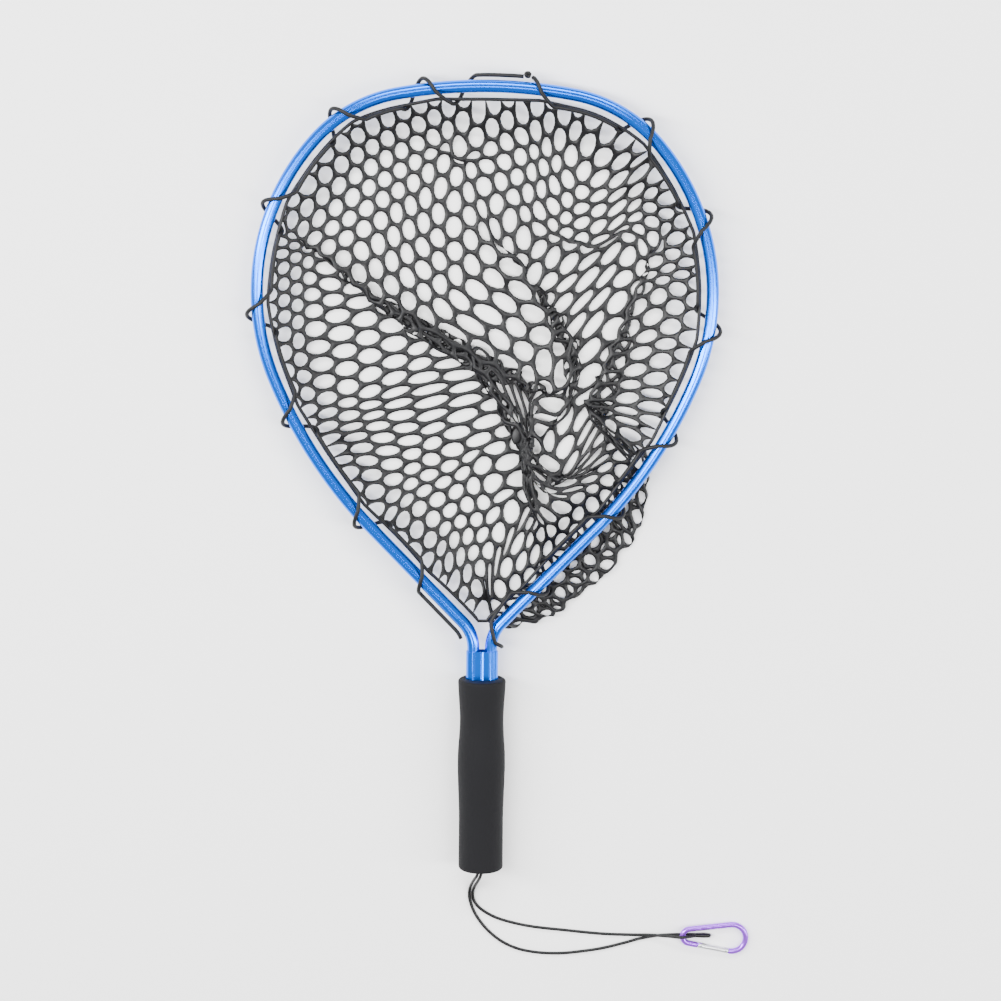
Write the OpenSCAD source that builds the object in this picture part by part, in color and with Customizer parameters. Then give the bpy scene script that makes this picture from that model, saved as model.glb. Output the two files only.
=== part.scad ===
// Small trout landing net, lying flat: a bent tube hoop with a laced rubber bag, a short
// foam-covered handle, and a doubled cord with a mini carabiner at the butt.
// +Y runs from the handle to the hoop, +Z is up, and the floor is z = 0.

/* [Hoop] */
// Outside width of the hoop
hoop_w = 318; // [265:1:382]
// Outside length of the hoop, from its top to the mouth of the handle tube
hoop_l = 392; // [327:1:471]
// Outside diameter of the hoop tube
rim_d = 8.6; // [7.2:0.1:10.4]
// Wall of the hoop tube
rim_wall = 1; // [0.8:0.1:1.6]
// Bend radius across the top of the hoop
top_r = 330; // [300:5:400]
// Bend radius along the widest part of the hoop
side_r = 156; // [140:1:170]
// Length of the straight run above the neck
straight_l = 90; // [60:1:100]
// Bend radius of the neck, where the two legs turn down into the handle
neck_r = 26; // [20:1:32]
// Gap between the two legs in the handle tube
leg_gap = 3.6; // [3:0.1:5]
// Length of each leg that the handle tube hides
leg_hidden = 55; // [45:1:70]

/* [Handle] */
// Length of handle tube that shows between the hoop and the grip
yoke_l = 20; // [16:1:26]
// Wall of the handle tube
tube_wall = 0.6; // [0.5:0.1:1.5]
// Width of each shallow flute along the handle tube
flute_w = 1.6; // [1:0.1:2]
// Length of the foam grip
grip_l = 137; // [114:1:165]
// Diameter of the grip at its top edge and at its palm swell
grip_d = 33.2; // [29:0.1:40]
// Diameter of the grip at its upper waist
waist_d = 30.4; // [28:0.1:33]
// Diameter of the grip at its lower end
lower_d = 31; // [28:0.1:33]
// Rounding of the grip's end edges
grip_edge = 2; // [1:0.1:3]
// Length of the end plug inside the handle tube
plug_l = 14; // [10:1:20]
// Diameter of the rivets that hold the legs
rivet_d = 3; // [2.4:0.1:3.6]

/* [Net] */
// Gap between the hoop tube and the bag's edge bead
bead_gap = 2.5; // [1.5:0.1:4]
// Width and height of the edge bead
bead_w = 2.4; // [2:0.1:3]
// Thickness of the bag's wall
bag_wall = 1.8; // [1.2:0.1:2.4]
// Thickness of the bag's folded rubber mesh on the floor
bag_floor = 5; // [3:0.5:7]
// Diameter of the lacing cord
lace_d = 2.8; // [2:0.1:3.2]
// Slack between the lacing cord and what it wraps
lace_slack = 0.35; // [0.2:0.05:0.8]

/* [Lanyard] */
// Diameter of the lanyard cord
cord_d = 2.2; // [1.8:0.1:2.4]
// Bar diameter of the carabiner
bar_d = 4; // [3.6:0.1:4.4]
// Overall length of the carabiner
clip_l = 49.2; // [46:0.1:56]
// Overall width of the carabiner at its large end
clip_w = 23.8; // [22:0.1:26]
// Width of the carabiner at its small end
clip_small_w = 14.6; // [14:0.1:16]
// Diameter of the gate's hinge pin
gate_pin_d = 1.2; // [1:0.1:1.4]
// Diameter of the catch pin at the gate's free end
catch_pin_d = 1; // [0.8:0.1:1.2]

/* [Hidden] */
$fn = 48;

blue = "#0F8CF0";
black = "#2E2D33";
violet = "#D9A6F5";

// Clearances: parts that only rest in each other, and parts that turn on each other
seat_gap = 0.1;
turn_gap = 0.05;
cut_over = 1; // how far a cutting solid runs past what it cuts
joint_l = 0.8; // a thin collar covers each place where two bends of a tube or bar meet
joint_skin = 0.02;
bar_skin = 0.06; // the collar's skin on the carabiner's tighter bends

// Headings turn clockwise from +X, from the middle of the hoop's top down its right side
top_turn = 10.5;
shoulder_turn = 48;
side_turn = 112;
leg_show = 2; // straight leg above the handle tube's mouth

function outward(h) = [sin(h), cos(h)];
function along(h) = [cos(h), -sin(h)];
function bend_l(r, a) = r * a * PI / 180;
function unit(v) = v / norm(v);

rim_r = rim_d / 2;
lace_r = lace_d / 2;
half_w = hoop_w / 2 - rim_r;
leg_x = leg_gap / 2 + rim_r;
leg_y = -(hoop_l - rim_r - leg_show);

// Centres of the bends, with the middle of the tube's top at [0, 0]
shoulder_r = (half_w - top_r * sin(top_turn) - side_r * (1 - sin(shoulder_turn)))
    / (sin(shoulder_turn) - sin(top_turn));
top_c = [0, -top_r];
shoulder_c = top_c + (top_r - shoulder_r) * outward(top_turn);
side_c = shoulder_c + (shoulder_r - side_r) * outward(shoulder_turn);
neck_c = [leg_x + neck_r, leg_y];
// The lower bend and the straight run close the outline between the side and the neck
side_end_to_neck = neck_c - side_c - side_r * outward(side_turn);
lower_r = (side_end_to_neck * side_end_to_neck - pow(neck_r, 2) - pow(straight_l, 2))
    / (2 * (neck_r - side_end_to_neck * outward(side_turn)));
lower_c = side_c + (side_r - lower_r) * outward(side_turn);
lower_to_neck = neck_c - lower_c;
line_turn = (atan2(lower_to_neck[0], lower_to_neck[1]) + 360) % 360
    - atan2(straight_l, lower_r + neck_r);

// Lengths along the middle of the tube, and where each piece of it starts
top_l = bend_l(top_r, top_turn);
shoulder_l = bend_l(shoulder_r, shoulder_turn - top_turn);
side_l = bend_l(side_r, side_turn - shoulder_turn);
lower_l = bend_l(lower_r, line_turn - side_turn);
neck_l = bend_l(neck_r, line_turn - 90);
shoulder_s = top_l;
side_s = shoulder_s + shoulder_l;
lower_s = side_s + side_l;
straight_s = lower_s + lower_l;
neck_s = straight_s + straight_l;
half_rim = neck_s + neck_l; // from the middle of the top to the start of a leg

function heading(s) =
    s < shoulder_s ? s / top_r * 180 / PI :
    s < side_s ? top_turn + (s - shoulder_s) / shoulder_r * 180 / PI :
    s < lower_s ? shoulder_turn + (s - side_s) / side_r * 180 / PI :
    s < straight_s ? side_turn + (s - lower_s) / lower_r * 180 / PI :
    s < neck_s ? line_turn :
    s < half_rim ? line_turn - (s - neck_s) / neck_r * 180 / PI : 90;
function right_point(s) =
    s < shoulder_s ? top_c + top_r * outward(heading(s)) :
    s < side_s ? shoulder_c + shoulder_r * outward(heading(s)) :
    s < lower_s ? side_c + side_r * outward(heading(s)) :
    s < straight_s ? lower_c + lower_r * outward(heading(s)) :
    s < neck_s ? lower_c + lower_r * outward(line_turn) + (s - straight_s) * along(line_turn) :
    s < half_rim ? neck_c - neck_r * outward(heading(s)) : [leg_x, leg_y - (s - half_rim)];
// A point beside the tube, s along it (negative on the left side), out from its middle
function beside_rim(s, out = 0) =
    let (p = right_point(abs(s)) + out * outward(heading(abs(s)))) [s < 0 ? -p[0] : p[0], p[1]];

// Handle tube: a flattened oval that takes both legs side by side
oval_in_h = rim_d + 2 * seat_gap;
oval_in_w = leg_gap + 2 * rim_d + 2 * seat_gap;
oval_h = oval_in_h + 2 * tube_wall;
oval_w = oval_in_w + 2 * tube_wall;
plug_recess = 0.5; // how far the plug's flange sits inside the grip's end
plug_flange = 2.5;
axis_z = grip_d / 2;

bead_in = rim_r + bead_gap + bead_w / 2; // from the middle of the tube to the middle of the bead

// Lacing cord: an oval loop round the hoop tube and the bead, turned into a helix
lace_sag = 1.8; // how far the loop stands off the outside of the tube
lace_out = rim_r + lace_r + lace_sag;
lace_in = bead_in + bead_w / 2 + lace_r + 2 * lace_slack;
lace_h = rim_r + lace_r + lace_slack + seat_gap;
knot_d = 5.6;
knot_share = 0.051;
knot_out = lace_out + lace_d / 2;

// Places along the rim: the outside of the hoop's top, and the grip's butt
knot_top = beside_rim(knot_share * half_rim, knot_out)[1] + knot_d / 2 - rim_r;
overall_l = hoop_l + yoke_l + grip_l;
hoop_y = (overall_l - knot_top) / 2 - rim_r; // middle of the tube at the hoop's top
mouth_y = hoop_y + rim_r - hoop_l;
grip_top_y = mouth_y - yoke_l;
butt_y = grip_top_y - grip_l;
tube_end_y = butt_y + plug_recess + plug_flange;
leg_end_y = mouth_y - leg_hidden;
rivet_y = [grip_top_y - 12, grip_top_y - 26]; // both rivets are hidden inside the grip
rivet_head_d = 1.8 * rivet_d;
rivet_head_h = 1;
head_pocket_d = 2 * rivet_d;
head_pocket_gap = 0.5; // between a rivet's head and the end of its pocket in the grip
leg_end_gap = 8; // how far the spacer stops short of the handle tube's mouth
plug_hole_d = 2 * cord_d + 0.6;
cord_knot_l = 6;
cord_knot_d = 6.4;

// Where along the grip its outline is widest or slimmest, as shares of its length
lower_waist = 0.25;
grip_swell = 0.57;
upper_waist = 0.785;
butt_swell = 0.2; // how much wider the grip is at the butt than at its lower waist

// Each key is a share of half the rim (negative on the left) and the turns wound so far:
// a quarter is over the tube, 0 outside it, a minus quarter under it and a half inside it.
// Each wrap goes over the tube at its share and back under it, then runs on beside the bead.
wrap_in = 0.018; // share of half the rim from above the bead to the top, and from under to above
wrap_out = 0.014; // share of half the rim for each quarter turn outside the tube
right_wraps = [0.907, 0.767, 0.652, 0.504, 0.36, 0.224];
left_wraps = [-0.064, -0.18, -0.321, -0.46, -0.603, -0.762];
over_bead = 0.17; // part of a turn from above the bead to the top of the tube
function wraps(shares, first) = [for (k = [0 : len(shares) - 1])
    each [[shares[k] + wrap_in, first + over_bead - k], [shares[k], first - k],
        [shares[k] - wrap_out, first - 0.25 - k], [shares[k] - 2 * wrap_out, first - 0.5 - k],
        [shares[k] - 2 * wrap_out - wrap_in, first + over_bead - 1 - k]]];
right_keys = concat([[0.997, 0.02], [0.99, 0.2], [0.968, 0.34], [0.942, 0.4]],
    wraps(right_wraps, 0.25), [[0.088, -5.58], [0.07, -5.75], [0.056, -6]]);
left_keys = concat([[0.046, 0], [-0.012, -0.04], [-0.028, -0.25]], wraps(left_wraps, -0.75),
    [[-0.864, -6.58], [-0.882, -6.75], [-0.896, -7], [-0.99, -7]]);
rings_per_turn = 16;
plain_step = 14; // ring spacing where the lace only runs along the tube

function key_steps(a, b) =
    max(1, ceil(max(abs(b[1] - a[1]) * rings_per_turn, abs(b[0] - a[0]) * half_rim / plain_step)));
function spread_keys(keys) = concat(
    [for (k = [0 : len(keys) - 2])
        let (n = key_steps(keys[k], keys[k + 1]))
            for (i = [0 : n - 1]) keys[k] + (keys[k + 1] - keys[k]) * i / n],
    [keys[len(keys) - 1]]);
// The inside of a loop never passes the middle of the net, where the two legs come together
function lace_reach(s) = min(lace_in, right_point(abs(s))[0]);
function loop_mid(s) = (lace_out - lace_reach(s)) / 2;
function loop_wide(s) = (lace_out + lace_reach(s)) / 2;
function lace_point(key) =
    let (s = key[0] * half_rim, a = key[1] * 360,
        flat = beside_rim(s, loop_mid(s) + loop_wide(s) * cos(a)))
            [flat[0], flat[1] + hoop_y, axis_z + lace_h * sin(a)];
function lace_out_dir(key) =
    let (s = key[0] * half_rim, a = key[1] * 360,
        flat = beside_rim(s, cos(a)) - beside_rim(s, 0)) [flat[0], flat[1], sin(a)];

// Bag outline: it follows the bead down to where the two sides meet above the neck
tip_x = 4;
function bag_edge(out) =
    let (start = lower_c + (lower_r + out) * outward(line_turn),
        tip_s = straight_s + (tip_x - start[0]) / cos(line_turn), n = 30)
            [for (i = [0 : n]) beside_rim(tip_s * i / n, out)];
function both_sides(right) =
    concat(right, [for (i = [len(right) - 1 : -1 : 1]) [-right[i][0], right[i][1]]]);
// The fold that spills out under the rim, as shares of half the rim and distances outside it
spill = [[0.68, -14], [0.69, 3], [0.721, 11], [0.75, 18], [0.785, 26], [0.827, 29],
    [0.868, 27], [0.901, 24], [0.932, 21], [0.959, 15], [0.985, 8], [0.975, -4], [0.9, -14]];
spill_gap = 0.2; // how much thinner the spilled fold is, above and below
bead_z = axis_z - 0.5;
window_h = 4.8;
window_below = 0.3; // how far under the bead a window starts
window_l = 16;
window_turn = -0.369; // where a turn of lace passes under the bead and through the wall

// Routes of the two lanyard strands, from the knot to the sleeve: across, on from the butt
// and up. Down to the floor the height is a share of the way up to the handle's middle.
upper_drop = [[1.2, 17.1, 1], [1.2, 7.6, 1], [1, -1.4, 0.99], [0, -6.4, 0.9], [-2, -11.9, 0.6],
    [-4, -16.9, 0.25], [-5.4, -22.4, 0.05]];
upper_floor = [[-4.8, -28.4, 1.15], [-0.6, -34.4, 1.15], [8, -40, 1.15], [18, -43.8, 1.15],
    [36, -47.8, 1.15], [60, -50.4, 1.15], [86, -52.8, 1.15], [106, -53.4, 1.3], [122, -53, 2.9],
    [134, -52.8, 5.8], [143, -52.9, 8], [149, -52.9, 6], [153, -52.9, 4.1]];
lower_drop = [[-1.2, 17.1, 1], [-1.2, 7.6, 1], [-1.4, -1.4, 0.97], [-2.6, -6.4, 0.85],
    [-4.8, -11.4, 0.52], [-6.8, -16.9, 0.17], [-7.9, -21.9, 0.02]];
lower_floor = [[-7.6, -28.4, 1.15], [-4.4, -37.4, 1.15], [1.4, -46.4, 1.15], [9, -54.4, 1.15],
    [18, -60.7, 1.15], [29, -65.1, 1.15], [43, -67.4, 1.15], [58, -67.6, 1.15],
    [73, -66, 1.15], [88, -63.4, 1.15], [102, -59.7, 1.15], [114, -56.2, 1.15],
    [126, -53.9, 1.15], [138, -53, 1.15], [147, -52.9, 1.15], [153, -52.9, 1.4]];
floor_cord_z = 1.15;
function strand_route(drop, flat) = concat(
    [for (p = drop) [p[0], butt_y + p[1], floor_cord_z + p[2] * (axis_z - floor_cord_z)]],
    [for (p = flat) [p[0], butt_y + p[1], p[2]]]);
upper_route = strand_route(upper_drop, upper_floor);
lower_route = strand_route(lower_drop, lower_floor);
sleeve_x = 153;
sleeve_l = 11.6;
sleeve_w = 3.4;
knot_from_butt = 17.1; // from the butt to the face of the cord's knot, inside the plug's end
knot_face_y = butt_y + knot_from_butt;

// Carabiner: its own frame starts at the small end's bar, where it hangs on the cord
hang = [144.1, butt_y - 52.9, 4.3]; // the carabiner's small bend, beyond the butt and to the right
clip_turn = -3;
bar_r = bar_d / 2;
small_r = clip_small_w / 2 - bar_r;
large_r = clip_w / 2 - bar_r;
small_c = small_r;
large_c = clip_l - 2 * bar_r - large_r;
clip_drop = asin((hang[2] - bar_r) / (large_c + large_r));
flare = asin((large_r - small_r) / (large_c - small_c));
stub_start = [small_c - small_r * sin(flare), -small_r * cos(flare)];
gate_side_l = (large_c - small_c) * cos(flare);
pivot_t = 9; // along the gate's side of the carabiner, from the small bend
tip_gap = 0.7; // between the gate's tip and the bar's large bend
tip_t = gate_side_l - tip_gap;
catch_from_tip = 1.6;
catch_t = tip_t - catch_from_tip;
catch_slot = 1.7; // how far the slot in the gate's tip reaches past the catch pin
nose_reach = 1.3; // how far the nose reaches past the catch pin
nose_clearance = 0.3; // round the catch pin, and where the nose meets the bar
gate_d = bar_d - 0.1;
heel_gap = 0.35; // between the bar's end and the gate's rounded heel
tongue_t = 1.4;
fork_gap = tongue_t + 2 * 0.15;
tongue_r = 1.4;
tongue_side = 0.5; // how far the tongue's round end stands off the hinge, as a cam
fork_l = 2.6;
spring_bore_d = 2;
spring_bore_l = 8;
plunger_start = tongue_r + turn_gap;
plunger_head_l = 2.2;
spring_wire = 0.3;
spring_turns = 5;

module oval(w, h) {
    for (side = [-1, 1]) {
        translate([side * (w - h) / 2, 0]) circle(d = h);
    }
    square([w - h, h], center = true);
}

// A solid of one section that runs from y_low to y_high at the height of the hoop
module along_y(y_low, y_high) {
    translate([0, y_high, axis_z]) rotate([90, 0, 0]) linear_extrude(y_high - y_low) children();
}

// A round cord through points; refs steady its sides, one direction for each point
module cord(points, refs, d, sides = 8) {
    last = len(points) - 1;
    skin = [for (i = [0 : last])
        let (dir = unit(points[min(i + 1, last)] - points[max(i - 1, 0)]),
            first = unit(refs[i] - (refs[i] * dir) * dir), second = cross(dir, first))
                for (j = [0 : sides - 1])
                    points[i] + d / 2 * (cos(360 * j / sides) * first + sin(360 * j / sides) * second)];
    walls = [for (i = [0 : last - 1], j = [0 : sides - 1])
        let (a = i * sides + j, b = i * sides + (j + 1) % sides)
            each [[a, a + sides, b + sides], [a, b + sides, b]]];
    ends = [[for (j = [0 : sides - 1]) j], [for (j = [sides - 1 : -1 : 0]) last * sides + j]];
    polyhedron(points = skin, faces = concat(walls, ends), convexity = 6);
}

// Two rings for each step of a route, on a smooth curve through its points
function smooth_at(p, i, f) =
    let (n = len(p) - 1, a = p[max(i - 1, 0)], b = p[i], c = p[min(i + 1, n)], d = p[min(i + 2, n)])
        0.5 * (2 * b + (c - a) * f + (2 * a - 5 * b + 4 * c - d) * pow(f, 2)
            + (3 * b - a - 3 * c + d) * pow(f, 3));
function smooth(p) = concat(
    [for (i = [0 : len(p) - 2], f = [0, 0.5]) smooth_at(p, i, f)], [p[len(p) - 1]]);

module strand(route) {
    points = smooth(route);
    cord(points, [for (p = points) [0.2, 0.1, 1]], cord_d);
}

module rim_section() {
    difference() {
        circle(r = rim_r);
        circle(r = rim_r - rim_wall);
    }
}

module rim_bend(centre, r, from, to) {
    translate([centre[0], centre[1], 0]) rotate([0, 0, 90 - to])
        rotate_extrude(angle = to - from) translate([r, 0]) rim_section();
}

module rim_straight(start, h, length) {
    translate([start[0], start[1], 0]) rotate([0, 0, -h]) rotate([90, 0, 90])
        linear_extrude(length) rim_section();
}

module rim_joint(s) {
    p = right_point(s);
    translate([p[0], p[1], 0]) rotate([0, 0, -heading(s)]) rotate([90, 0, 90])
        linear_extrude(joint_l, center = true) difference() {
            circle(r = rim_r + joint_skin);
            circle(r = rim_r - rim_wall - joint_skin);
        }
}

module rivet_holes() {
    for (x = [-leg_x, leg_x], y = rivet_y) {
        translate([x, y, axis_z]) cylinder(d = rivet_d + 2 * seat_gap, h = grip_d, center = true);
    }
}

module hoop_tube() {
    color(blue) difference() {
        translate([0, hoop_y, axis_z]) {
            union() {
                rim_bend(top_c, top_r, -top_turn, top_turn);
                rim_joint(shoulder_s);
                mirror([1, 0, 0]) rim_joint(shoulder_s);
            }
            for (side = [0, 1]) {
                mirror([side, 0, 0]) {
                    union() {
                        rim_bend(shoulder_c, shoulder_r, top_turn, shoulder_turn);
                        rim_joint(side_s);
                    }
                    union() {
                        rim_bend(side_c, side_r, shoulder_turn, side_turn);
                        rim_joint(lower_s);
                    }
                    union() {
                        rim_bend(lower_c, lower_r, side_turn, line_turn);
                        rim_joint(straight_s);
                    }
                    union() {
                        rim_straight(right_point(straight_s), line_turn, straight_l);
                        rim_joint(neck_s);
                    }
                    union() {
                        translate([neck_c[0], neck_c[1], 0]) rotate([0, 0, 270 - line_turn])
                            rotate_extrude(angle = line_turn - 90) translate([neck_r, 0]) rim_section();
                        rim_joint(half_rim);
                    }
                    rim_straight([leg_x, leg_y], 90, leg_show + leg_hidden);
                }
            }
        }
        rivet_holes();
    }
}

module handle_tube() {
    color(blue) difference() {
        along_y(tube_end_y, mouth_y) oval(oval_w, oval_h);
        along_y(tube_end_y - cut_over, mouth_y + cut_over) oval(oval_in_w, oval_in_h);
        for (x = [-3.2, 0, 3.2], side = [-1, 1]) {
            along_y(tube_end_y - cut_over, mouth_y + cut_over)
                translate([x, side * oval_h / 2]) square([flute_w, tube_wall / 2], center = true);
        }
        rivet_holes();
    }
}

// Moulded spacer that keeps the two legs apart where the rivets clamp them
module leg_insert() {
    insert_l = leg_hidden - leg_end_gap;
    color("#3A3A3E") difference() {
        along_y(leg_end_y, leg_end_y + insert_l)
            square([2 * leg_x, rim_d - 2 * seat_gap], center = true);
        for (x = [-leg_x, leg_x]) {
            along_y(leg_end_y - cut_over, leg_end_y + insert_l + cut_over)
                translate([x, 0]) circle(r = rim_r + seat_gap);
        }
    }
}

module leg_rivets() {
    color("silver") for (x = [-leg_x, leg_x], y = rivet_y) {
        translate([x, y, axis_z]) {
            cylinder(d = rivet_d, h = oval_h + 2 * rivet_head_h, center = true);
            for (side = [-1, 1]) {
                translate([0, 0, side * (oval_h + rivet_head_h) / 2])
                    cylinder(d = rivet_head_d, h = rivet_head_h, center = true);
            }
        }
    }
}

// Half the grip's outline, from its lower end up to its top edge
function grip_r(t) =
    t > grip_swell ? waist_at(t, grip_swell, upper_waist, 1, grip_d, waist_d)
        : waist_at(t, 0, lower_waist, grip_swell, grip_d, lower_d);
function waist_at(t, low, mid, high, wide, slim) =
    let (edge = t > mid ? high : low, f = (t - mid) / (edge - mid),
        end_d = low == 0 && t < mid ? lower_d + butt_swell : wide)
            (slim + (end_d - slim) * (1 - cos(180 * f)) / 2) / 2;

module foam_grip() {
    steps = 24;
    outline = concat(
        [[0, 0], [grip_r(0) - grip_edge, 0]],
        [for (a = [15 : 15 : 90]) [grip_r(0) - grip_edge * (1 - sin(a)), grip_edge * (1 - cos(a))]],
        [for (i = [1 : steps - 1])
            let (t = (grip_edge + (grip_l - 2 * grip_edge) * i / steps) / grip_l)
                [grip_r(t), t * grip_l]],
        [for (a = [90 : -15 : 15])
            [grip_r(1) - grip_edge * (1 - sin(a)), grip_l - grip_edge * (1 - cos(a))]],
        [[grip_r(1) - grip_edge, grip_l], [0, grip_l]]);
    color(black) difference() {
        translate([0, butt_y, axis_z]) rotate([-90, 0, 0]) rotate_extrude() polygon(outline);
        along_y(butt_y - cut_over, grip_top_y + cut_over)
            oval(oval_w + 2 * turn_gap, oval_h + 2 * turn_gap);
        for (x = [-leg_x, leg_x], y = rivet_y) {
            translate([x, y, axis_z])
                cylinder(d = head_pocket_d, h = oval_h + 2 * (rivet_head_h + head_pocket_gap),
                    center = true);
        }
    }
}

module end_plug() {
    color(black) difference() {
        union() {
            along_y(butt_y + plug_recess, tube_end_y) oval(oval_w, oval_h);
            along_y(tube_end_y - turn_gap, tube_end_y + plug_l)
                oval(oval_in_w - 2 * seat_gap, oval_in_h - 2 * seat_gap);
        }
        along_y(butt_y - cut_over, tube_end_y + plug_l + cut_over) circle(d = plug_hole_d);
    }
}

module lanyard_knot() {
    color("black") along_y(knot_face_y, knot_face_y + cord_knot_l)
        circle(d = cord_knot_d);
}

module lanyard_upper() {
    color("black") strand(upper_route);
}

module lanyard_lower() {
    color("black") strand(lower_route);
}

// Shrunk sleeve that joins the two ends of the cord, one above the other
module cord_sleeve() {
    sleeve_h = upper_route[len(upper_route) - 1][2] + cord_d / 2 + 0.2;
    nose = sleeve_w / 2;
    color("black") translate([sleeve_x, hang[1], sleeve_h / 2]) {
        rotate([90, 0, 90]) linear_extrude(sleeve_l - nose) rotate([0, 0, 90]) oval(sleeve_h, sleeve_w);
        translate([sleeve_l - nose, 0, 0]) {
            cylinder(r = nose, h = sleeve_h - sleeve_w, center = true);
            for (side = [-1, 1]) {
                translate([0, 0, side * (sleeve_h - sleeve_w) / 2]) sphere(r = nose);
            }
        }
    }
}

module in_clip() {
    translate(hang) rotate([0, clip_drop, clip_turn]) children();
}

// X runs from the small bend along the gate's side, and Y points into the carabiner
module in_gate_side() {
    in_clip() translate([stub_start[0], stub_start[1], 0]) rotate([0, 0, -flare]) children();
}

module bar(length) {
    rotate([0, 90, 0]) cylinder(r = bar_r, h = length);
}

module bar_joint() {
    rotate([0, 90, 0]) cylinder(r = bar_r + bar_skin, h = joint_l, center = true);
}

module carabiner_bars() {
    in_clip() {
        union() {
            translate([small_c, 0, 0]) rotate([0, 0, 90 + flare])
                rotate_extrude(angle = 180 - 2 * flare) translate([small_r, 0]) circle(r = bar_r);
            for (side = [-1, 1]) {
                translate([stub_start[0], side * stub_start[1], 0]) rotate([0, 0, -side * flare])
                    bar_joint();
            }
        }
        translate([stub_start[0], -stub_start[1], 0]) rotate([0, 0, flare]) bar(gate_side_l);
        union() {
            translate([large_c, 0, 0]) rotate([0, 0, -90 - flare])
                rotate_extrude(angle = 180 + 2 * flare) translate([large_r, 0]) circle(r = bar_r);
            translate([stub_start[0], -stub_start[1], 0]) rotate([0, 0, flare])
                translate([gate_side_l, 0, 0]) bar_joint();
        }
    }
    in_gate_side() bar(pivot_t - gate_d / 2 - heel_gap);
}

module carabiner_body() {
    color(violet) difference() {
        union() {
            carabiner_bars();
            in_gate_side() {
                tongue();
                catch_nose();
            }
        }
        in_gate_side() translate([pivot_t, 0, 0])
            cylinder(r = gate_pin_d / 2 + turn_gap, h = 2 * bar_d, center = true);
    }
}

module tongue() {
    back = pivot_t - gate_d / 2 - 0.8;
    translate([pivot_t, tongue_side, 0]) cylinder(r = tongue_r, h = tongue_t, center = true);
    stem_w = 2 * tongue_r - 0.6;
    translate([back, tongue_side - stem_w / 2, -tongue_t / 2])
        cube([pivot_t - back, stem_w, tongue_t]);
}

module catch_nose() {
    notch = catch_pin_d + nose_clearance;
    difference() {
        translate([catch_t - nose_reach, -bar_r + 0.5, -tongue_t / 2])
            cube([gate_side_l - catch_t + nose_reach + nose_clearance, 2 * bar_r - 1, tongue_t]);
        translate([catch_t - notch / 2, -notch / 2, -bar_r]) cube([notch, bar_d, bar_d]);
    }
}

module carabiner_gate() {
    gate_r = gate_d / 2;
    color("silver") in_gate_side() difference() {
        intersection() {
            translate([pivot_t - gate_r, 0, 0]) rotate([0, 90, 0])
                cylinder(r = gate_r, h = tip_t - pivot_t + gate_r);
            union() {
                translate([pivot_t, 0, 0]) cylinder(r = gate_r, h = 2 * gate_d, center = true);
                translate([pivot_t, -gate_d, -gate_d]) cube([clip_l, 2 * gate_d, 2 * gate_d]);
            }
        }
        translate([pivot_t - 2 * gate_r, -gate_d, -fork_gap / 2])
            cube([2 * gate_r + fork_l, 2 * gate_d, fork_gap]);
        translate([catch_t - catch_slot, -gate_d, -fork_gap / 2]) cube([tip_t, 2 * gate_d, fork_gap]);
        translate([pivot_t + 1, 0, 0]) rotate([0, 90, 0])
            cylinder(d = spring_bore_d, h = fork_l - 1 + spring_bore_l);
        for (t = [pivot_t, catch_t]) {
            pin_d = t == pivot_t ? gate_pin_d : catch_pin_d;
            translate([t, 0, 0]) cylinder(d = pin_d + 0.02, h = 2 * gate_d, center = true);
        }
    }
}

module gate_pin() {
    color("silver") in_gate_side() translate([pivot_t, 0, 0])
        cylinder(d = gate_pin_d, h = gate_d - 0.4, center = true);
}

module catch_pin() {
    color("silver") in_gate_side() translate([catch_t, 0, 0])
        cylinder(d = catch_pin_d, h = gate_d - 0.4, center = true);
}

module gate_plunger() {
    neck_l = fork_l - plunger_start + 0.1;
    color("silver") in_gate_side() translate([pivot_t + plunger_start, 0, 0]) rotate([0, 90, 0]) {
        cylinder(d = tongue_t, h = neck_l + 0.1);
        translate([0, 0, neck_l]) cylinder(d = spring_bore_d - 2 * seat_gap, h = plunger_head_l);
    }
}

module gate_spring() {
    start = pivot_t + fork_l + 0.1 + plunger_head_l + spring_wire / 2 + turn_gap;
    length = pivot_t + fork_l + spring_bore_l - spring_wire / 2 - turn_gap - start;
    coil_r = spring_bore_d / 2 - seat_gap - spring_wire / 2;
    rings = spring_turns * 12;
    points = [for (i = [0 : rings])
        [start + length * i / rings, coil_r * cos(30 * i), coil_r * sin(30 * i)]];
    color("silver") in_gate_side()
        cord(points, [for (i = [0 : rings]) [0, cos(30 * i), sin(30 * i)]], spring_wire, 6);
}

module bag_windows(keys) {
    table = [for (k = keys) [k[1], k[0]]];
    first = ceil(max([for (k = keys) k[1]]) - window_turn) - 1;
    last = ceil(min([for (k = keys) k[1]]) - window_turn);
    for (turn = [first : -1 : last]) {
        s = lookup(turn + window_turn, table) * half_rim;
        p = beside_rim(s, -bead_in);
        translate([p[0], p[1] + hoop_y, bead_z - (bead_w + window_h) / 2 - window_below])
            rotate([0, 0, s < 0 ? heading(-s) : -heading(s)])
                cube([window_l, 4 * bag_wall, window_h], center = true);
    }
}

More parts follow.
